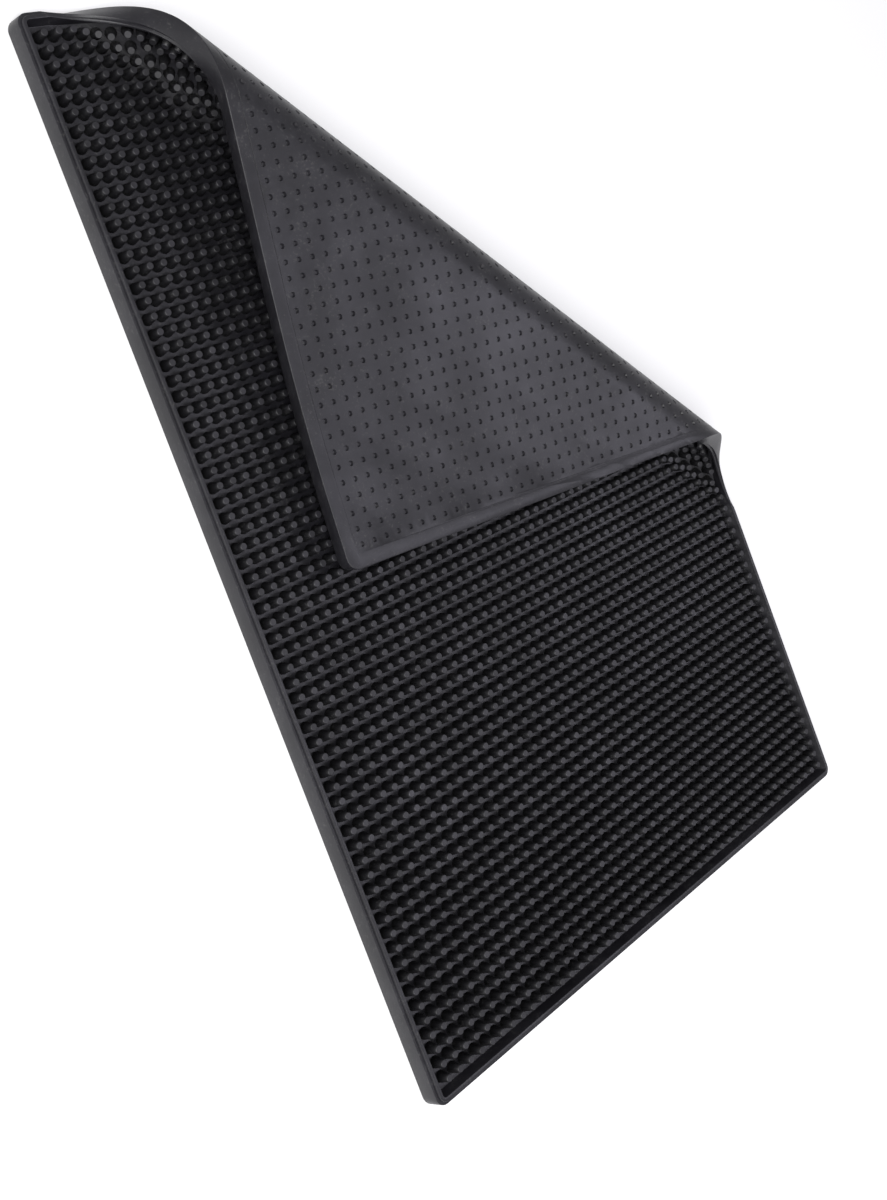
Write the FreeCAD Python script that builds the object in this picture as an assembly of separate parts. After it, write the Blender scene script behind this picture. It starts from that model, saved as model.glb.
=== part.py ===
import FreeCAD, Part
import math
import os
from FreeCAD import Placement, Rotation, Vector

# Bar service mat: one rubber moulding with a raised rim and a field of nubs,
# lying on its smooth underside with one corner folded back over the nubs.
# Millimetres. +Z is up, X runs along the short side and Y along the long side.
# The origin is the centre of the flat mat's underside.
#
# The rubber bends along hinge lines on the underside. Each stretch between two
# hinge lines is a panel, so the mat is a flat base, a run of narrow bend panels
# and a folded flap. The solids are drawn flat and then carried to the folded pose.

# Overall sizes of the flat mat
MAT_WIDTH = 300.0
MAT_LENGTH = 450.0
CORNER_RADIUS = 6.0

# Floor of the mat and the nubs on it
FLOOR_THICKNESS = 3.5
NUB_COLUMNS = 45
NUB_ROWS = 70
NUB_HEIGHT = 6.0
NUB_FOOT_RADIUS = 2.5
NUB_TOP_RADIUS = 1.45
EDGE_TO_FIRST_NUB = 9.2

# Raised rim, seen as a section that starts at the outer edge of the underside.
# The outer wall ends at a narrow ledge, and a lip rises from the ledge's inner edge.
RIM_HEIGHT = 9.2
RIM_FOOT_WIDTH = 4.6
RIM_OUTER_DRAFT = 0.6
RIM_INNER_DRAFT = 0.9
LEDGE_WIDTH = 1.3
LIP_RISE = 1.2
LIP_DRAFT = 0.2

# Fold of the corner, measured from that corner along the two edges it joins
BACK_EDGE_BEND_START = 289.0
BACK_EDGE_BEND_END = 191.0
RIGHT_EDGE_BEND_START = 301.0
RIGHT_EDGE_BEND_END = 206.0
BEND_HINGES = 12
BEND_ANGLE = 193.0

# Slight reverse curve that lets the tip of the flap lie down
BACK_EDGE_SETTLE_START = 120.0
BACK_EDGE_SETTLE_END = 21.0
RIGHT_EDGE_SETTLE_START = 204.0
RIGHT_EDGE_SETTLE_END = 145.0
SETTLE_HINGES = 3
SETTLE_ANGLE = -10.0

# Free gap between neighbouring panels at a hinge line
PANEL_CLEARANCE = 0.3

# A panel leaves off a cut nub when it would hold less than this share of it
SMALLEST_NUB_SHARE = 0.15

# The floor is drawn in bands of this many rows of nubs, so no face has too many holes
ROWS_PER_BAND = 5

# The rim of the flat base is cut into its four sides along the corners' mitres
QUARTER_TURN = 90.0
MITRE_ANGLE = 45.0

HALF_WIDTH = MAT_WIDTH / 2.0
HALF_LENGTH = MAT_LENGTH / 2.0
COLUMN_PITCH = (MAT_WIDTH - 2.0 * EDGE_TO_FIRST_NUB) / (NUB_COLUMNS - 1)
ROW_PITCH = (MAT_LENGTH - 2.0 * EDGE_TO_FIRST_NUB) / (NUB_ROWS - 1)
FIRST_NUB_X = EDGE_TO_FIRST_NUB - HALF_WIDTH
FIRST_NUB_Y = EDGE_TO_FIRST_NUB - HALF_LENGTH

# Cutting tools reach past the mat on every side
REACH = 2.0 * (MAT_WIDTH + MAT_LENGTH)
UP = Vector(0, 0, 1)


class Hinge:
    """A straight line on the underside where two panels of the mat meet."""

    def __init__(self, back_distance, right_distance, angle):
        self.back = Vector(HALF_WIDTH - back_distance, HALF_LENGTH, 0)
        self.right = Vector(HALF_WIDTH, HALF_LENGTH - right_distance, 0)
        self.angle = angle
        self.along = (self.right - self.back).normalize()
        self.toward_corner = UP.cross(self.along)

    def depth(self, point):
        """Distance of a flat point past the line, toward the folded corner."""
        return (point - self.back).dot(self.toward_corner)

    def frame(self):
        """Placement with x along the line, y toward the corner and z up."""
        turn = Rotation(self.along, self.toward_corner, UP, "XYZ")
        return Placement(self.back, turn)

    def fold(self):
        """Placement that turns everything past the line into its folded pose."""
        turn = Rotation(self.along, self.angle)
        return Placement(self.back - turn.multVec(self.back), turn)


def spaced(first, last, count):
    """Middles of count equal steps between two distances."""
    step = (last - first) / count
    return [first + (index + 0.5) * step for index in range(count)]


def hinge_run(back_span, right_span, count, total_angle):
    """Evenly spaced hinges that share one total angle."""
    backs = spaced(back_span[0], back_span[1], count)
    rights = spaced(right_span[0], right_span[1], count)
    return [Hinge(back, right, total_angle / count) for back, right in zip(backs, rights)]


def all_hinges():
    """Every hinge line in order from the flat base to the tip of the flap."""
    bend = hinge_run(
        (BACK_EDGE_BEND_START, BACK_EDGE_BEND_END),
        (RIGHT_EDGE_BEND_START, RIGHT_EDGE_BEND_END),
        BEND_HINGES,
        BEND_ANGLE,
    )
    settle = hinge_run(
        (BACK_EDGE_SETTLE_START, BACK_EDGE_SETTLE_END),
        (RIGHT_EDGE_SETTLE_START, RIGHT_EDGE_SETTLE_END),
        SETTLE_HINGES,
        SETTLE_ANGLE,
    )
    return bend + settle


def half_space(hinge, past_line):
    """Block on one side of a hinge line, leaned so that folded panels keep their gap."""
    lean = max(hinge.angle, 0.0) / 2.0
    side = 1.0 if past_line else -1.0
    block = Part.makeBox(2.0 * REACH, REACH, 2.0 * REACH)
    block.translate(Vector(-REACH, 0.0 if past_line else -REACH, -REACH))
    block.rotate(Vector(0, 0, 0), Vector(1, 0, 0), side * lean)
    block.translate(Vector(0, -side * PANEL_CLEARANCE / 2.0, 0))
    block.Placement = hinge.frame().multiply(block.Placement)
    return block


def trim_to_panel(shape, before, after):
    """Part of a flat shape that lies between two hinge lines."""
    if before is not None:
        shape = shape.cut(half_space(before, False))
    if after is not None and shape.Solids:
        shape = shape.cut(half_space(after, True))
    return shape


def rounded_outline(inset, height):
    """Closed outline of the mat, moved inward and raised."""
    x = HALF_WIDTH - inset
    y = HALF_LENGTH - inset
    radius = CORNER_RADIUS - inset
    bend = radius * (1.0 - math.sqrt(0.5))
    edges = []
    for quarter in range(4):
        sx = (1, -1, -1, 1)[quarter]
        sy = (1, 1, -1, -1)[quarter]
        on_side = Vector(sx * x, sy * (y - radius), height)
        on_end = Vector(sx * (x - radius), sy * y, height)
        middle = Vector(sx * (x - bend), sy * (y - bend), height)
        first, last = (on_side, on_end) if sx * sy > 0 else (on_end, on_side)
        if edges:
            edges.append(Part.LineSegment(edges[-1].lastVertex().Point, first).toShape())
        edges.append(Part.Arc(first, middle, last).toShape())
    edges.append(Part.LineSegment(edges[-1].lastVertex().Point, edges[0].firstVertex().Point).toShape())
    return Part.Wire(edges)


def tapered_block(low_inset, low_z, high_inset, high_z):
    """Solid between two outlines of the mat at different heights."""
    low = rounded_outline(low_inset, low_z)
    high = rounded_outline(high_inset, high_z)
    return Part.makeLoft([low, high], True, True)


def flat_rim():
    """The raised rim as one closed ring, before it is cut into panels."""
    ledge_z = RIM_HEIGHT - LIP_RISE
    lip_inset = RIM_OUTER_DRAFT + LEDGE_WIDTH
    wall = tapered_block(0.0, 0.0, RIM_OUTER_DRAFT, ledge_z)
    lip = tapered_block(lip_inset, ledge_z, lip_inset + LIP_DRAFT, RIM_HEIGHT)
    well = tapered_block(RIM_FOOT_WIDTH, 0.0, RIM_FOOT_WIDTH, FLOOR_THICKNESS)
    mouth = tapered_block(RIM_FOOT_WIDTH, FLOOR_THICKNESS, RIM_FOOT_WIDTH - RIM_INNER_DRAFT, RIM_HEIGHT)
    return wall.fuse(lip).cut(well).cut(mouth)


def nub_centres():
    """Middles of all nubs on the flat mat, at floor level."""
    return [
        Vector(FIRST_NUB_X + column * COLUMN_PITCH, FIRST_NUB_Y + row * ROW_PITCH, FLOOR_THICKNESS)
        for row in range(NUB_ROWS)
        for column in range(NUB_COLUMNS)
    ]


def floor_bands():
    """The flat floor in side-by-side bands, each a few rows of nubs deep."""
    floor = tapered_block(RIM_FOOT_WIDTH, 0.0, RIM_FOOT_WIDTH, FLOOR_THICKNESS)
    seams = [-HALF_LENGTH]
    for row in range(ROWS_PER_BAND, NUB_ROWS, ROWS_PER_BAND):
        seams.append(FIRST_NUB_Y + (row - 0.5) * ROW_PITCH)
    seams.append(HALF_LENGTH)
    bands = []
    for low, high in zip(seams, seams[1:]):
        block = Part.makeBox(MAT_WIDTH, high - low, 3.0 * FLOOR_THICKNESS)
        block.translate(Vector(-HALF_WIDTH, low, -FLOOR_THICKNESS))
        bands.append(floor.common(block))
    return bands


def touches_panel(centre, before, after):
    """Whether a nub's foot reaches into the panel between two hinge lines."""
    if before is not None and before.depth(centre) < -NUB_FOOT_RADIUS:
        return False
    return after is None or after.depth(centre) < NUB_FOOT_RADIUS


def floor_panel(before, after):
    """Floor of one panel with its share of the nubs, drawn flat."""
    bands = [trim_to_panel(band, before, after) for band in floor_bands()]
    pieces = [band for band in bands if band.Solids]
    lean_room = NUB_FOOT_RADIUS + NUB_HEIGHT
    for centre in nub_centres():
        if not touches_panel(centre, before, after):
            continue
        nub = Part.makeCone(NUB_FOOT_RADIUS, NUB_TOP_RADIUS, NUB_HEIGHT, centre)
        near_start = before is not None and before.depth(centre) < lean_room
        near_end = after is not None and after.depth(centre) > -lean_room
        share = trim_to_panel(nub, before, after) if near_start or near_end else nub
        if share.Volume > SMALLEST_NUB_SHARE * nub.Volume:
            pieces.append(share)
    return pieces[0].multiFuse(pieces[1:])


def rim_side(ring, mitre_point, quarter_turns):
    """Length of the base's rim that lies between two mitres that meet at a point."""
    block = Part.makeBox(REACH, REACH, RIM_HEIGHT)
    block.rotate(Vector(0, 0, 0), UP, quarter_turns * QUARTER_TURN - MITRE_ANGLE)
    block.translate(mitre_point)
    return ring.common(block)


def write(name, shape):
    """Save one node."""
    shape.exportStep("parts/" + name + ".step")


def base_parts(first_hinge):
    """Nodes of the part of the mat that stays flat."""
    parts = {"base_panel": floor_panel(None, first_hinge)}
    rest = trim_to_panel(flat_rim(), None, first_hinge)
    offset = HALF_LENGTH - HALF_WIDTH
    sides = (
        ("rim_right", Vector(0, -offset, 0), 0),
        ("rim_back", Vector(0, offset, 0), 1),
        ("rim_front", Vector(0, -offset, 0), 3),
    )
    for name, mitre_point, quarter_turns in sides:
        side = rim_side(rest, mitre_point, quarter_turns)
        rest = rest.cut(side)
        parts[name] = side
    parts["rim_left"] = rest
    return parts


def panel_name(number):
    """Name of the panel after a hinge, counted from one."""
    if number < BEND_HINGES:
        return "bend_" + str(number)
    return "flap_" + str(number - BEND_HINGES + 1)


def main():
    """Draw every panel flat, fold it and save it."""
    os.makedirs("parts", exist_ok=True)
    hinges = all_hinges()
    for name, shape in base_parts(hinges[0]).items():
        write(name, shape)
    ring = flat_rim()
    folded = Placement()
    for number, before in enumerate(hinges, start=1):
        after = hinges[number] if number < len(hinges) else None
        folded = folded.multiply(before.fold())
        floor = floor_panel(before, after)
        rim = trim_to_panel(ring, before, after)
        for kind, shape in (("panel", floor), ("rim", rim)):
            shape.Placement = folded.multiply(shape.Placement)
            write(panel_name(number) + "_" + kind, shape)


main()
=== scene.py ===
"""Bar service mat, a black rubber moulding with one corner folded back over its nubs."""

import logging
import math
import random
from dataclasses import dataclass, field
from enum import Enum
from typing import Any, Optional, Union

import bmesh
import bpy
from mathutils import Matrix, Vector


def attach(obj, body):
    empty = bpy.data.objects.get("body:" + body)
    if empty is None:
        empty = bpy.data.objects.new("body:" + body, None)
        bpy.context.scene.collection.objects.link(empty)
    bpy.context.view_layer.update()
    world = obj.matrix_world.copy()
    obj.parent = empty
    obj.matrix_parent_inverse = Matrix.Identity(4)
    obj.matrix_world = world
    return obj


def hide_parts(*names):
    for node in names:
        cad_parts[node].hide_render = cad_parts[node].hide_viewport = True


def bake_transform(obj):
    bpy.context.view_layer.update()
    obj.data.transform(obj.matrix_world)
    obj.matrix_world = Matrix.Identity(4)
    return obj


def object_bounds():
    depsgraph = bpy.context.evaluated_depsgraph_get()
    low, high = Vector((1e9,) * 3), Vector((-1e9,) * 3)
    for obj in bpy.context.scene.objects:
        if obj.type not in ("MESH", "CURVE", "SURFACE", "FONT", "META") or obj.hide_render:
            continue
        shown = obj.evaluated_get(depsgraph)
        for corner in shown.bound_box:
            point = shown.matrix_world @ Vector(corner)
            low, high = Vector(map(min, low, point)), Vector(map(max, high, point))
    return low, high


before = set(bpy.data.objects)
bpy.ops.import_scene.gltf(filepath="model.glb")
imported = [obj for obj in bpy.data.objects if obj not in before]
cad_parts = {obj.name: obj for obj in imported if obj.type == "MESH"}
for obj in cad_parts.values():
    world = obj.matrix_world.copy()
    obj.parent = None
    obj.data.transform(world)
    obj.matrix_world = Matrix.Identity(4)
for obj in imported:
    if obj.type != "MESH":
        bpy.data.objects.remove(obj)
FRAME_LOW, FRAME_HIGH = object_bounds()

LOG = logging.getLogger("service_mat")
MM = 0.001
UP = Vector((0.0, 0.0, 1.0))
NUB_RISE = "rise"
NUB_TONE = "tone"


# --------------------------------------------------------------------------- sizes and fold


@dataclass(frozen=True)
class MatSizes:
    """Sizes of the flat mat, in metres. Its underside is at height 0, its middle at the origin."""

    width: float = FRAME_HIGH.x - FRAME_LOW.x
    length: float = FRAME_HIGH.y - FRAME_LOW.y
    corner_radius: float = 5.2 * MM
    floor: float = 3.5 * MM
    columns: int = 45
    rows: int = 70
    nub_height: float = 6.0 * MM
    nub_foot_radius: float = 2.5 * MM
    nub_top_radius: float = 1.45 * MM
    edge_to_first_nub: float = 9.2 * MM
    wall_height: float = 8.0 * MM
    outer_draft: float = 0.6 * MM
    ledge_width: float = 1.3 * MM
    lip_rise: float = 1.2 * MM
    lip_draft: float = 0.2 * MM
    lip_width: float = 1.6 * MM
    inner_draft: float = 0.9 * MM

    @property
    def pitch(self) -> tuple[float, float]:
        """Distance between nub middles.

        Returns:
            The distance along X and the distance along Y.
        """
        across = (self.width - 2.0 * self.edge_to_first_nub) / (self.columns - 1)
        along = (self.length - 2.0 * self.edge_to_first_nub) / (self.rows - 1)
        return across, along

    @property
    def rim_height(self) -> float:
        """Height of the lip's top above the underside."""
        return self.wall_height + self.lip_rise

    def nub_centres(self) -> list[Vector]:
        """Set out the nubs on the flat mat, row by row.

        Returns:
            Their middles, at floor level.
        """
        across, along = self.pitch
        first = Vector((-self.width / 2.0, -self.length / 2.0, self.floor))
        first += Vector((self.edge_to_first_nub, self.edge_to_first_nub, 0.0))
        return [
            first + Vector((column * across, row * along, 0.0))
            for row in range(self.rows)
            for column in range(self.columns)
        ]


SIZES = MatSizes()


@dataclass(frozen=True)
class FoldLine:
    """A straight line across the flat underside, given by where it meets two edges of the mat.

    Both distances start at the folded corner. One runs along the back edge, the other down the
    right edge.
    """

    back: float
    right: float

    @property
    def on_back_edge(self) -> Vector:
        """Where the line meets the back edge."""
        return Vector((SIZES.width / 2.0 - self.back, SIZES.length / 2.0, 0.0))

    @property
    def on_right_edge(self) -> Vector:
        """Where the line meets the right edge."""
        return Vector((SIZES.width / 2.0, SIZES.length / 2.0 - self.right, 0.0))

    @property
    def along(self) -> Vector:
        """Unit vector from the back edge to the right edge."""
        return (self.on_right_edge - self.on_back_edge).normalized()

    @property
    def toward_corner(self) -> Vector:
        """Unit vector in the flat mat, square to the line."""
        return UP.cross(self.along)

    def depth(self, point: Vector) -> float:
        """Distance of a flat point past the line, toward the corner."""
        return (point - self.on_back_edge).dot(self.toward_corner)

    def turned(self, angle: float) -> Matrix:
        """Rotation about the line, which lifts what lies past it."""
        pivot = Matrix.Translation(self.on_back_edge)
        return pivot @ Matrix.Rotation(angle, 4, self.along) @ pivot.inverted()

    def toward(self, other: "FoldLine", share: float) -> "FoldLine":
        """Find a line between this one and another.

        Args:
            other: the line at the far end.
            share: how far along the way it lies, 0 here and 1 at the other.

        Returns:
            The line between them.
        """
        return FoldLine(
            self.back + (other.back - self.back) * share,
            self.right + (other.right - self.right) * share,
        )


class Stretch:
    """Part of the mat between two fold lines, with one turn spread evenly over small steps."""

    def __init__(
        self, start: FoldLine, end: FoldLine, angle: float, steps: int, bodies: tuple[str, str]
    ) -> None:
        """Set the stretch out.

        Args:
            start: line on the side of the flat base.
            end: line on the side of the folded corner.
            angle: turn from start to end, in radians.
            steps: number of small steps the turn is spread over.
            bodies: the frame's bodies before and after the stretch.
        """
        self.start = start
        self.end = end
        self.bodies = bodies
        self.edges = [start.toward(end, index / steps) for index in range(steps + 1)]
        self.creases = [start.toward(end, (index + 0.5) / steps) for index in range(steps)]
        self.step_angle = angle / steps
        self.before = [Matrix.Identity(4)]

    def carry(self, before: Matrix) -> Matrix:
        """Fold the stretch after everything before it.

        Args:
            before: folded placement of the mat at the start line.

        Returns:
            The folded placement at the end line.
        """
        self.before = [before]
        for crease in self.creases:
            self.before.append(self.before[-1] @ crease.turned(self.step_angle))
        return self.before[-1]

    def place(self, point: Vector) -> Vector:
        """Fold one point of this stretch.

        Args:
            point: its place on the flat mat.

        Returns:
            Its place once folded.
        """
        for index, crease in enumerate(self.creases):
            into = self.edges[index].depth(point)
            left = -self.edges[index + 1].depth(point)
            if left > 0.0 or index == len(self.creases) - 1:
                share = min(max(into / (into + left), 0.0), 1.0)
                return self.before[index] @ crease.turned(self.step_angle * share) @ point
        return self.before[-1] @ point

    def blend_points(self, height: float) -> tuple[Vector, Vector]:
        """Points between which the folded stretch leaves one body for the other.

        Args:
            height: height above the flat underside where the turn is measured.

        Returns:
            The start and the end point. Both ends of the stretch lie outside them.
        """
        middle = self.start.toward(self.end, 0.5)
        back, right = middle.on_back_edge, middle.on_right_edge
        along = (self.place(right) - self.place(back)).normalized()
        centre = self.place((back + right) / 2.0)
        raised = self.place((back + right) / 2.0 + UP * height)
        forward = (raised - centre).cross(along).normalized()
        advance = self.place(self.end.on_back_edge) - self.place(self.start.on_back_edge)
        if advance.dot(forward) < 0.0:
            forward.negate()
        first = max((self.place(p) - centre).dot(forward) for p in self.section(self.start, height))
        last = min((self.place(p) - centre).dot(forward) for p in self.section(self.end, height))
        return centre + forward * first, centre + forward * last

    @staticmethod
    def section(line: FoldLine, height: float) -> list[Vector]:
        """Flat points at both ends of a line, on the underside and above it."""
        ends = (line.on_back_edge, line.on_right_edge)
        return [end + UP * rise for end in ends for rise in (0.0, height)]


class Fold:
    """The whole folded corner: a tight bend, a plain flap and a slight curve before its tip."""

    BEND = (FoldLine(289.0 * MM, 301.0 * MM), FoldLine(191.0 * MM, 206.0 * MM))
    SETTLE = (FoldLine(120.0 * MM, 204.0 * MM), FoldLine(21.0 * MM, 145.0 * MM))
    BEND_ANGLE = math.radians(193.0)
    SETTLE_ANGLE = math.radians(-10.0)
    BEND_JOINTS = 12
    SETTLE_JOINTS = 3
    BEND_STEPS = 8
    SETTLE_STEPS = 4

    def __init__(self) -> None:
        """Name the bodies in order and fold every stretch."""
        bends = [f"bend_{number}" for number in range(1, self.BEND_JOINTS)]
        flaps = [f"flap_{number}" for number in range(1, self.SETTLE_JOINTS + 2)]
        self.bodies = ["base"] + bends + flaps
        self.bend = self.run(self.BEND, self.BEND_ANGLE, self.BEND_JOINTS, self.BEND_STEPS, 0)
        self.settle = self.run(
            self.SETTLE, self.SETTLE_ANGLE, self.SETTLE_JOINTS, self.SETTLE_STEPS, self.BEND_JOINTS
        )
        self.flap = self.carried(self.bend, Matrix.Identity(4))
        self.tip = self.carried(self.settle, self.flap)

    def run(
        self, lines: tuple[FoldLine, FoldLine], angle: float, count: int, steps: int, first: int
    ) -> list[Stretch]:
        """Equal stretches between two lines.

        Args:
            lines: first and last line of the run.
            angle: turn of the whole run, in radians.
            count: number of stretches, one to each joint.
            steps: small steps in each stretch.
            first: place in the list of bodies of the one before the run.

        Returns:
            The stretches in order.
        """
        return [
            Stretch(
                lines[0].toward(lines[1], index / count),
                lines[0].toward(lines[1], (index + 1) / count),
                angle / count,
                steps,
                (self.bodies[first + index], self.bodies[first + index + 1]),
            )
            for index in range(count)
        ]

    @staticmethod
    def carried(stretches: list[Stretch], before: Matrix) -> Matrix:
        """Fold a run of stretches one after another.

        Args:
            stretches: the run, in order.
            before: folded placement of the mat where the run starts.

        Returns:
            The folded placement where the run ends.
        """
        for stretch in stretches:
            before = stretch.carry(before)
        return before

    def hinges(self) -> list[tuple[FoldLine, float]]:
        """List the joints in order.

        Returns:
            Each joint's line on the flat mat and its turn, in radians.
        """
        turns = [(s, self.BEND_ANGLE / self.BEND_JOINTS) for s in self.bend]
        turns += [(s, self.SETTLE_ANGLE / self.SETTLE_JOINTS) for s in self.settle]
        return [(s.start.toward(s.end, 0.5), angle) for s, angle in turns]

    def body_of(self, point: Vector) -> int:
        """Place in the list of bodies of the one that carries a flat point."""
        return sum(1 for line, _ in self.hinges() if line.depth(point) > 0.0)

    def body_placements(self) -> list[Matrix]:
        """Fold every body as a whole.

        Returns:
            Each body's folded placement, in the order of the bodies.
        """
        placements = [Matrix.Identity(4)]
        for line, angle in self.hinges():
            placements.append(placements[-1] @ line.turned(angle))
        return placements


# --------------------------------------------------------------------------- shader tools


class Socket:
    """A node's output that takes part in sums, so a shader reads as arithmetic."""

    def __init__(self, tree: "Shader", output: bpy.types.NodeSocket) -> None:
        """Wrap one output of a tree."""
        self.tree = tree
        self.output = output

    def math(self, operation: str, first: Any, second: Any) -> "Socket":
        """Result of a Math node on two values."""
        return self.tree.node("ShaderNodeMath", {"operation": operation}, {0: first, 1: second})

    def __add__(self, other: Any) -> "Socket":
        """Sum."""
        return self.math("ADD", self, other)

    __radd__ = __add__

    def __sub__(self, other: Any) -> "Socket":
        """Difference."""
        return self.math("SUBTRACT", self, other)

    def __rsub__(self, other: Any) -> "Socket":
        """Difference with the socket on the right."""
        return self.math("SUBTRACT", other, self)

    def __mul__(self, other: Any) -> "Socket":
        """Product."""
        return self.math("MULTIPLY", self, other)

    __rmul__ = __mul__

    def clamped(self) -> "Socket":
        """Value held between 0 and 1."""
        return self.math("MINIMUM", self.math("MAXIMUM", self, 0.0), 1.0)


class Shader:
    """A material's node tree with one method that adds any node."""

    def __init__(self, name: str) -> None:
        """Start an empty tree.

        Args:
            name: the material's name.
        """
        self.material = bpy.data.materials.new(name)
        self.material.use_nodes = True
        self.nodes = self.material.node_tree.nodes
        self.links = self.material.node_tree.links
        self.nodes.clear()

    def node(
        self,
        kind: str,
        settings: Optional[dict[str, Any]] = None,
        values: Optional[dict[Union[int, str], Any]] = None,
        output: Union[int, str] = 0,
    ) -> Socket:
        """Add a node.

        Args:
            kind: the node's type.
            settings: properties set before anything is linked.
            values: numbers, colours or sockets for its inputs, by name or place.
            output: name or place of the output to return.

        Returns:
            The wanted output.
        """
        made = self.nodes.new(kind)
        for key, value in (settings or {}).items():
            setattr(made, key, value)
        for key, value in (values or {}).items():
            if isinstance(value, Socket):
                self.links.new(value.output, made.inputs[key])
            else:
                made.inputs[key].default_value = value
        return Socket(self, made.outputs[output] if made.outputs else None)

    def noise(self, where: Socket, scale: float, detail: float, roughness: float) -> Socket:
        """Soft random pattern, with a scale in lumps per metre."""
        values = {"Vector": where, "Scale": scale, "Detail": detail, "Roughness": roughness}
        return self.node("ShaderNodeTexNoise", values=values, output="Fac")

    def stepped(self, value: Socket, low: float, high: float) -> Socket:
        """Value eased from 0 at low to 1 at high."""
        values = {"Value": value, "From Min": low, "From Max": high}
        return self.node("ShaderNodeMapRange", {"interpolation_type": "SMOOTHSTEP"}, values)

    def mixed(self, share: Socket, first: Any, second: Any) -> Socket:
        """Colour between two colours."""
        values = {"Factor": share, 6: first, 7: second}
        return self.node("ShaderNodeMix", {"data_type": "RGBA"}, values, output=2)


class Face(Enum):
    """Which faces of the moulding a rubber finish is for."""

    SMOOTH = "smooth"
    NUB = "nub"


@dataclass(frozen=True)
class RubberFinish:
    """Black moulded rubber with fine grain, scuffs and a thin film of dust. On the nubs the tops
    are painted lighter and the sides darker, as painted light and shade together with some wear.

    Scales are in lumps per metre, and each pair of limits is where a pattern starts and is full.
    """

    name: str
    face: Face
    dark: tuple[float, float, float, float]
    worn_and_lit: tuple[float, float, float, float]
    dust: tuple[float, float, float, float]
    roughness: float
    specular: float
    grain: float
    cloud_scale: float = 24.0
    patch_scale: float = 110.0
    speck_scale: float = 900.0
    pore_scale: float = 2600.0
    scuff_limits: tuple[float, float] = (0.42, 0.62)
    dust_limits: tuple[float, float] = (0.56, 0.68)
    dust_share: float = 0.35
    top_light_and_wear_limits: tuple[float, float] = (0.86, 1.0)
    bump_strength: float = 0.55

    def material(self) -> bpy.types.Material:
        """Build the finish from shader nodes.

        Returns:
            The material.
        """
        tree = Shader(self.name)
        where = tree.node("ShaderNodeTexCoord", output="Object")
        cloud = tree.noise(where, self.cloud_scale, 4.0, 0.6)
        patch = tree.noise(where, self.patch_scale, 3.0, 0.55)
        speck = tree.noise(where, self.speck_scale, 2.0, 0.6)
        pores = tree.noise(where, self.pore_scale, 2.0, 0.5)
        scuff_and_top_light = tree.stepped(cloud * 0.6 + patch * 0.4, *self.scuff_limits)
        dust = tree.stepped(speck * 0.7 + patch * 0.3, *self.dust_limits) * self.dust_share
        # On the nubs the colour turns lighter toward the top: painted light on the tops and painted
        # shade down the sides, mixed with some wear and a random tone from nub to nub.
        if self.face is Face.NUB:
            rise = tree.node("ShaderNodeAttribute", {"attribute_name": NUB_RISE}, output="Fac")
            tone = tree.node("ShaderNodeAttribute", {"attribute_name": NUB_TONE}, output="Fac")
            top_light_and_wear = tree.stepped(rise, *self.top_light_and_wear_limits)
            scuff_and_top_light = (top_light_and_wear * (scuff_and_top_light * 0.45 + tone * 0.55)).clamped()
            dust = dust * (1.0 - top_light_and_wear * 0.5)
        colour = tree.mixed(scuff_and_top_light, self.dark, self.worn_and_lit)
        colour = tree.mixed(dust, colour, self.dust)
        uneven = (patch - 0.5) * 0.22 + (speck - 0.5) * 0.12
        height = pores * 0.35 + speck * 0.45 + patch * 0.5
        bump = tree.node(
            "ShaderNodeBump",
            values={"Strength": self.bump_strength, "Distance": self.grain, "Height": height},
        )
        surface = tree.node(
            "ShaderNodeBsdfPrincipled",
            values={
                "Base Color": colour,
                "Roughness": (self.roughness + uneven - scuff_and_top_light * 0.05).clamped(),
                "Specular IOR Level": self.specular,
                "Normal": bump,
            },
        )
        tree.node("ShaderNodeOutputMaterial", values={"Surface": surface})
        return tree.material


SKIN_FINISH = RubberFinish(
    name="smooth_rubber",
    face=Face.SMOOTH,
    dark=(0.0085, 0.0081, 0.0105, 1.0),
    worn_and_lit=(0.0150, 0.0145, 0.0180, 1.0),
    dust=(0.075, 0.073, 0.070, 1.0),
    roughness=0.44,
    specular=0.5,
    grain=0.12 * MM,
)
# Same rubber as the skin, but its colour is set darker as painted shade on the nub sides. Its worn
# and lit colour, used on the tops, is lighter as painted light with some wear.
NUB_FINISH = RubberFinish(
    name="nub_rubber",
    face=Face.NUB,
    dark=(0.0050, 0.0048, 0.0060, 1.0),
    worn_and_lit=(0.0230, 0.0222, 0.0270, 1.0),
    dust=(0.060, 0.060, 0.060, 1.0),
    roughness=0.50,
    specular=0.5,
    grain=0.08 * MM,
)


# --------------------------------------------------------------------------- pieces


def finished_object(
    bm: bmesh.types.BMesh, name: str, material: bpy.types.Material
) -> bpy.types.Object:
    """Turn a finished bmesh into an object at the origin.

    Args:
        bm: the mesh, which is freed.
        name: the piece's name.
        material: its finish.

    Returns:
        The new object, linked to the scene.
    """
    mesh = bpy.data.meshes.new(name)
    bm.to_mesh(mesh)
    bm.free()
    mesh.materials.append(material)
    made = bpy.data.objects.new(name, mesh)
    bpy.context.scene.collection.objects.link(made)
    return made


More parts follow.
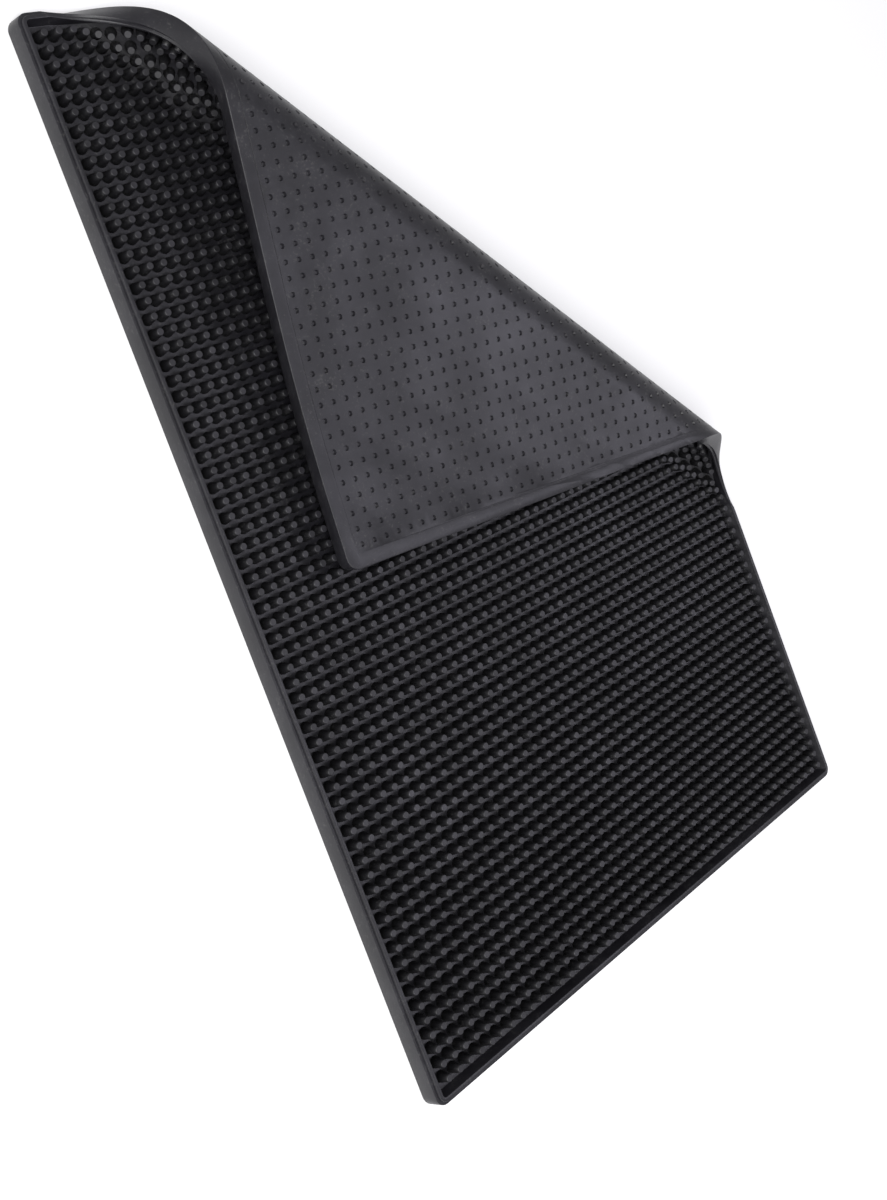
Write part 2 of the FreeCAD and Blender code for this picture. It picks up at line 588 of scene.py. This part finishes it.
@dataclass
class MatSkin:
    """Floor and rim of the mat as one closed shell, cut into pieces and folded."""

    fold: Fold
    margin_round: float = 0.45 * MM
    ledge_round: float = 0.18 * MM
    lip_round: float = 0.35 * MM
    floor_round: float = 0.4 * MM
    corner_segments: int = 7
    round_segments: int = 2
    dimple_width: float = 2.1 * MM
    dimple_slope: float = 0.45 * MM
    dimple_depth: float = 0.85 * MM
    dimple_sides: int = 8
    wave_depth: float = 0.9 * MM
    wave_lengths: tuple[float, float] = (62.0 * MM, 41.0 * MM)
    wave_phase: float = 0.8
    wave_slant: float = 0.4
    wave_fade: float = 18.0 * MM
    sharp_angle: float = math.radians(34.0)
    blend_height: float = 6.0 * MM
    cut_tolerance: float = 1e-7
    finish: bpy.types.Material = field(init=False)

    def __post_init__(self) -> None:
        """Make the finish once for all pieces."""
        self.finish = SKIN_FINISH.material()

    def rim_and_floor(self, bm: bmesh.types.BMesh) -> dict[str, list[bmesh.types.BMEdge]]:
        """Rim and floor seen from above, drawn inward from the outline.

        Args:
            bm: empty mesh to draw in.

        Returns:
            The rings of edges, by name. The foot is where the shell is still open below.
        """
        size = Matrix.Diagonal((SIZES.width, SIZES.length, 1.0, 1.0))
        bmesh.ops.create_grid(bm, x_segments=1, y_segments=1, size=0.5, matrix=size)
        bmesh.ops.bevel(
            bm, geom=bm.verts[:], offset=SIZES.corner_radius, offset_type="OFFSET",
            affect="VERTICES", segments=self.corner_segments, profile=0.5, material=-1,
        )
        face = max(bm.faces, key=lambda f: f.calc_area())
        if face.normal.z < 0.0:
            face.normal_flip()
        rings = {}
        steps = (
            ("shoulder", SIZES.outer_draft, SIZES.wall_height),
            ("ledge", SIZES.ledge_width, 0.0),
            ("lip_outside", SIZES.lip_draft, SIZES.lip_rise),
            ("lip_inside", SIZES.lip_width, 0.0),
            ("floor", SIZES.inner_draft, SIZES.floor - SIZES.rim_height),
        )
        for name, inward, rise in steps:
            bmesh.ops.inset_region(
                bm, faces=[face], thickness=inward, depth=0.0, use_even_offset=True,
                use_boundary=True,
            )
            bmesh.ops.translate(bm, verts=face.verts[:], vec=UP * rise)
            rings[name] = list(face.edges)
        rings["foot"] = [edge for edge in bm.edges if edge.is_boundary]
        return rings

    def dimpled_underside(self, bm: bmesh.types.BMesh, foot: list[bmesh.types.BMEdge]) -> None:
        """Add the underside, with one small dimple below each nub.

        Args:
            bm: the shell, open below.
            foot: edges of the opening.
        """
        across, along = SIZES.pitch
        span = Matrix.Diagonal((across * SIZES.columns, along * SIZES.rows, 1.0, 1.0))
        grid = bmesh.ops.create_grid(
            bm, x_segments=SIZES.columns, y_segments=SIZES.rows, size=0.5, matrix=span
        )
        cells = list({f for v in grid["verts"] for f in v.link_faces})
        border = list({e for f in cells for e in f.edges if e.is_boundary})
        bmesh.ops.triangle_fill(bm, use_beauty=False, edges=border + foot)
        inset = (min(across, along) - self.dimple_width) / 2.0
        bmesh.ops.inset_individual(bm, faces=cells, thickness=inset, use_even_offset=True)
        corners = list({v for f in cells for v in f.verts})
        cut = self.dimple_width * (1.0 - math.sqrt(0.5))
        bmesh.ops.bevel(
            bm, geom=corners, offset=cut, offset_type="OFFSET", affect="VERTICES", segments=1,
            profile=0.5, material=-1,
        )
        cells = [f for f in bm.faces if len(f.verts) == self.dimple_sides]
        bmesh.ops.inset_individual(
            bm, faces=cells, thickness=self.dimple_slope, use_even_offset=True
        )
        hollow = list({v for f in cells for v in f.verts})
        bmesh.ops.translate(bm, verts=hollow, vec=UP * self.dimple_depth)
        for vert in {v for v in bm.verts if v.co.z < SIZES.floor / 2.0}:
            vert.co.z += self.wave(vert.co)

    def wave(self, point: Vector) -> float:
        """Height of the soft waves in the folded part of the underside.

        Args:
            point: a point of the flat mat.

        Returns:
            The height, which fades out toward the edges and toward the bend.
        """
        first, second = self.wave_lengths
        slanted = point.y + self.wave_slant * point.x
        swell = math.sin(math.tau * point.x / first + self.wave_phase)
        swell *= math.sin(math.tau * slanted / second)
        inside = min(SIZES.width / 2.0 - abs(point.x), SIZES.length / 2.0 - abs(point.y))
        share = min(inside, self.fold.BEND[1].depth(point)) / self.wave_fade
        share = min(max(share, 0.0), 1.0)
        return self.wave_depth * 0.5 * (1.0 + swell) * share * share * (3.0 - 2.0 * share)

    def flat_shell(self) -> bmesh.types.BMesh:
        """Make the whole flat mat without its nubs.

        Returns:
            One closed shell.
        """
        bm = bmesh.new()
        rings = self.rim_and_floor(bm)
        bmesh.ops.holes_fill(bm, edges=rings["foot"], sides=0)
        rounds = (
            (rings["foot"], self.margin_round),
            (rings["shoulder"], self.ledge_round),
            (rings["lip_outside"] + rings["lip_inside"], self.lip_round),
            (rings["floor"], self.floor_round),
        )
        for edges, offset in rounds:
            bmesh.ops.bevel(
                bm, geom=edges, offset=offset, offset_type="OFFSET", affect="EDGES",
                segments=self.round_segments, profile=0.5, material=-1, clamp_overlap=True,
            )
        lowest = min(bm.faces, key=lambda f: f.calc_center_median().z)
        foot = list(lowest.edges)
        bmesh.ops.delete(bm, geom=[lowest], context="FACES_ONLY")
        self.dimpled_underside(bm, foot)
        bmesh.ops.recalc_face_normals(bm, faces=bm.faces[:])
        return bm

    def cut(self, bm: bmesh.types.BMesh, line: FoldLine, keep_corner: Optional[bool]) -> None:
        """Cut the flat shell along a line.

        Args:
            bm: the shell.
            line: where to cut.
            keep_corner: True keeps the corner's side, False the other side, None both, joined.
        """
        made = bmesh.ops.bisect_plane(
            bm, geom=bm.verts[:] + bm.edges[:] + bm.faces[:], dist=self.cut_tolerance,
            plane_co=line.on_back_edge, plane_no=line.toward_corner,
            clear_inner=keep_corner is True, clear_outer=keep_corner is False,
        )
        if keep_corner is not None:
            cut_edges = [e for e in made["geom_cut"] if isinstance(e, bmesh.types.BMEdge)]
            bmesh.ops.holes_fill(bm, edges=[e for e in cut_edges if e.is_boundary], sides=0)

    def piece(
        self, shell: bmesh.types.BMesh, name: str, last: Optional[FoldLine],
        stretch: Optional[Stretch], placement: Matrix,
    ) -> bpy.types.Object:
        """Cut one piece out of the flat shell and fold it.

        Args:
            shell: what is left of the flat shell, which starts where the piece does.
            name: the piece's name.
            last: line where the piece ends. None where it reaches the corner of the mat.
            stretch: how it turns, or None where it stays flat.
            placement: folded placement of a piece that stays flat.

        Returns:
            The folded piece.
        """
        bm = shell.copy()
        if last is not None:
            self.cut(bm, last, False)
        for face in bm.faces:
            face.smooth = True
        for edge in bm.edges:
            edge.smooth = edge.calc_face_angle(math.pi) < self.sharp_angle
        if stretch is None:
            bm.transform(placement)
        else:
            for line in stretch.edges[1:-1]:
                self.cut(bm, line, None)
            for vert in bm.verts:
                vert.co = stretch.place(vert.co)
        return finished_object(bm, name, self.finish)

    def build(self) -> list[bpy.types.Object]:
        """Make every piece from the flat base to the tip, and fix the flat ones to their bodies.

        Returns:
            The pieces in order.
        """
        shell = self.flat_shell()
        bend, settle = self.fold.bend, self.fold.settle
        flat = Matrix.Identity(4)
        parts: list[tuple[str, Optional[FoldLine], Optional[Stretch], Matrix]] = [
            ("skin_base", bend[0].start, None, flat)
        ]
        parts += [(f"skin_bend_{i}", s.end, s, flat) for i, s in enumerate(bend, 1)]
        parts.append(("skin_flap", settle[0].start, None, self.fold.flap))
        parts += [(f"skin_settle_{i}", s.end, s, flat) for i, s in enumerate(settle, 1)]
        parts.append(("skin_tip", None, None, self.fold.tip))
        made = []
        for name, last, stretch, placement in parts:
            made.append(self.piece(shell, name, last, stretch, placement))
            if last is not None:
                self.cut(shell, last, True)
        shell.free()
        self.attach(made)
        return made

    def attach(self, made: list[bpy.types.Object]) -> None:
        """Fix the flat pieces of skin to their bodies and hide the solids that the pieces stand
        for. The bending pieces get no body.

        Args:
            made: the pieces in order.
        """
        by_name = {piece.name: piece for piece in made}
        sides = ("left", "front", "right", "back")
        flap, tip = self.fold.bodies[self.fold.BEND_JOINTS], self.fold.bodies[-1]
        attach(by_name["skin_base"], "base")
        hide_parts("base_panel", *(f"rim_{side}" for side in sides))
        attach(by_name["skin_flap"], flap)
        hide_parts(f"{flap}_panel", f"{flap}_rim")
        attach(by_name["skin_tip"], tip)
        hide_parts(f"{tip}_panel", f"{tip}_rim")
        runs = (("skin_bend_", self.fold.bend), ("skin_settle_", self.fold.settle))
        for prefix, stretches in runs:
            for number, stretch in enumerate(stretches, 1):
                piece = by_name[f"{prefix}{number}"]
                start, end = stretch.blend_points(self.blend_height)
                before, after = stretch.bodies
                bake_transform(piece)
                if number < len(stretches):
                    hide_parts(f"{after}_panel", f"{after}_rim")
        for piece in made:
            LOG.info("%s: %d faces", piece.name, len(piece.data.polygons))


@dataclass
class NubField:
    """The field of small tapered nubs, one set to each body, so that each nub stays whole."""

    fold: Fold
    segments: int = 12
    sunk: float = 0.7 * MM
    top_round: float = 0.16 * MM
    round_segments: int = 1
    seed: int = 7

    def single(self) -> bpy.types.Mesh:
        """Make one nub at the origin of the floor.

        Returns:
            Its mesh, with the share of its height and a tone stored on each point.
        """
        bm = bmesh.new()
        growth = (SIZES.nub_foot_radius - SIZES.nub_top_radius) / SIZES.nub_height
        depth = SIZES.nub_height + self.sunk
        bmesh.ops.create_cone(
            bm, cap_ends=True, cap_tris=False, segments=self.segments, depth=depth,
            radius1=SIZES.nub_foot_radius + growth * self.sunk, radius2=SIZES.nub_top_radius,
            matrix=Matrix.Translation(UP * (SIZES.nub_height - depth / 2.0)),
        )
        top = max(bm.faces, key=lambda f: f.calc_center_median().z)
        bmesh.ops.bevel(
            bm, geom=list(top.edges), offset=self.top_round, offset_type="OFFSET",
            affect="EDGES", segments=self.round_segments, profile=0.5, material=-1,
        )
        bmesh.ops.recalc_face_normals(bm, faces=bm.faces[:])
        for face in bm.faces:
            face.smooth = len(face.verts) < self.segments
        rise = bm.verts.layers.float.new(NUB_RISE)
        bm.verts.layers.float.new(NUB_TONE)
        for vert in bm.verts:
            vert[rise] = vert.co.z / SIZES.nub_height
        mesh = bpy.data.meshes.new("single_nub")
        bm.to_mesh(mesh)
        bm.free()
        return mesh

    def build(self) -> list[bpy.types.Object]:
        """Make one piece of nubs for each body and fix it to that body.

        Returns:
            The pieces, in the order of the bodies.
        """
        finish = NUB_FINISH.material()
        nub = self.single()
        order = random.Random(self.seed)
        fields = [bmesh.new() for _ in self.fold.bodies]
        tone = nub.attributes[NUB_TONE]
        for centre in SIZES.nub_centres():
            shade = order.random()
            tone.data.foreach_set("value", [shade] * len(nub.vertices))
            nub.transform(Matrix.Translation(centre))
            fields[self.fold.body_of(centre)].from_mesh(nub)
            nub.transform(Matrix.Translation(-centre))
        bpy.data.meshes.remove(nub)
        made = []
        placements = self.fold.body_placements()
        for body, bm, placement in zip(self.fold.bodies, fields, placements):
            bm.transform(placement)
            piece = finished_object(bm, f"nubs_{body}", finish)
            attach(piece, body)
            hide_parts(f"{body}_panel")
            LOG.info("%s: %d faces", piece.name, len(piece.data.polygons))
            made.append(piece)
        return made


# --------------------------------------------------------------------------- studio


@dataclass(frozen=True)
class SoftLight:
    """Square area light that faces the mat, in metres and watts."""

    name: str
    toward: tuple[float, float, float]
    distance: float
    size: float
    power: float
    colour: tuple[float, float, float]

    def build(self) -> None:
        """Add the light to the scene."""
        data = bpy.data.lights.new(self.name, "AREA")
        data.size = self.size
        data.energy = self.power
        data.color = self.colour
        light = bpy.data.objects.new(self.name, data)
        direction = Vector(self.toward).normalized()
        light.location = direction * self.distance
        light.rotation_mode = "QUATERNION"
        light.rotation_quaternion = direction.to_track_quat("Z", "Y")
        bpy.context.scene.collection.objects.link(light)


BACK_LIGHT = SoftLight(
    name="back_light",
    toward=(0.50, -0.28, 0.82),
    distance=2.2,
    size=0.6,
    power=7.0,
    colour=(0.88, 0.86, 1.0),
)
KEY_LIGHT = SoftLight(
    name="key_light",
    toward=(-0.75, -0.15, 0.85),
    distance=2.4,
    size=1.8,
    power=75.0,
    colour=(1.0, 1.0, 1.0),
)


@dataclass
class Studio:
    """Pale floor, soft lights and the camera."""

    floor_size: float = 6.0
    floor_colour: tuple[float, float, float, float] = (0.9, 0.9, 0.9, 1.0)
    floor_roughness: float = 0.9
    floor_specular: float = 0.1
    surround_colour: tuple[float, float, float, float] = (0.97, 0.96, 1.0, 1.0)
    surround_strength: float = 0.42
    camera_place: Vector = field(default_factory=lambda: Vector((-439.5, 45.1, 472.9)) * MM)
    camera_ahead: Vector = field(default_factory=lambda: Vector((0.6541, -0.0687, -0.7533)))
    camera_up: Vector = field(default_factory=lambda: Vector((0.3080, 0.9338, 0.1823)))
    sensor_width: float = 36.0
    lens: float = 42.81
    shift: tuple[float, float] = (0.0055, -0.1008)
    sight: tuple[float, float] = (0.01, 20.0)

    def floor(self) -> None:
        """Plain pale floor under the mat."""
        tree = Shader("studio_floor")
        surface = tree.node(
            "ShaderNodeBsdfPrincipled",
            values={
                "Base Color": self.floor_colour,
                "Roughness": self.floor_roughness,
                "Specular IOR Level": self.floor_specular,
            },
        )
        tree.node("ShaderNodeOutputMaterial", values={"Surface": surface})
        bm = bmesh.new()
        bmesh.ops.create_grid(bm, x_segments=1, y_segments=1, size=self.floor_size / 2.0)
        finished_object(bm, "studio_floor", tree.material)

    def lights(self) -> None:
        """Small light behind the mat for its sheen, a broad one on its left, a pale surround."""
        BACK_LIGHT.build()
        KEY_LIGHT.build()
        world = bpy.data.worlds.new("surround")
        world.use_nodes = True
        background = world.node_tree.nodes["Background"]
        background.inputs["Color"].default_value = self.surround_colour
        background.inputs["Strength"].default_value = self.surround_strength
        bpy.context.scene.world = world
        bpy.context.scene.view_settings.view_transform = "Standard"

    def camera(self) -> None:
        """Camera above the left edge, rolled slightly."""
        data = bpy.data.cameras.new("camera")
        data.sensor_fit = "AUTO"
        data.sensor_width = self.sensor_width
        data.lens = self.lens
        data.shift_x, data.shift_y = self.shift
        data.clip_start, data.clip_end = self.sight
        camera = bpy.data.objects.new("camera", data)
        back = -self.camera_ahead.normalized()
        right = self.camera_up.cross(back).normalized()
        up = back.cross(right)
        turn = Matrix((right, up, back)).transposed().to_4x4()
        camera.matrix_world = Matrix.Translation(self.camera_place) @ turn
        bpy.context.scene.collection.objects.link(camera)
        bpy.context.scene.camera = camera

    def build(self) -> None:
        """Set up floor, lights and camera."""
        self.floor()
        self.lights()
        self.camera()
        LOG.info("studio ready")


def main() -> None:
    """Build the mat and its studio."""
    logging.basicConfig(level=logging.INFO)
    fold = Fold()
    MatSkin(fold).build()
    NubField(fold).build()
    Studio().build()


if __name__ == "__main__":
    main()
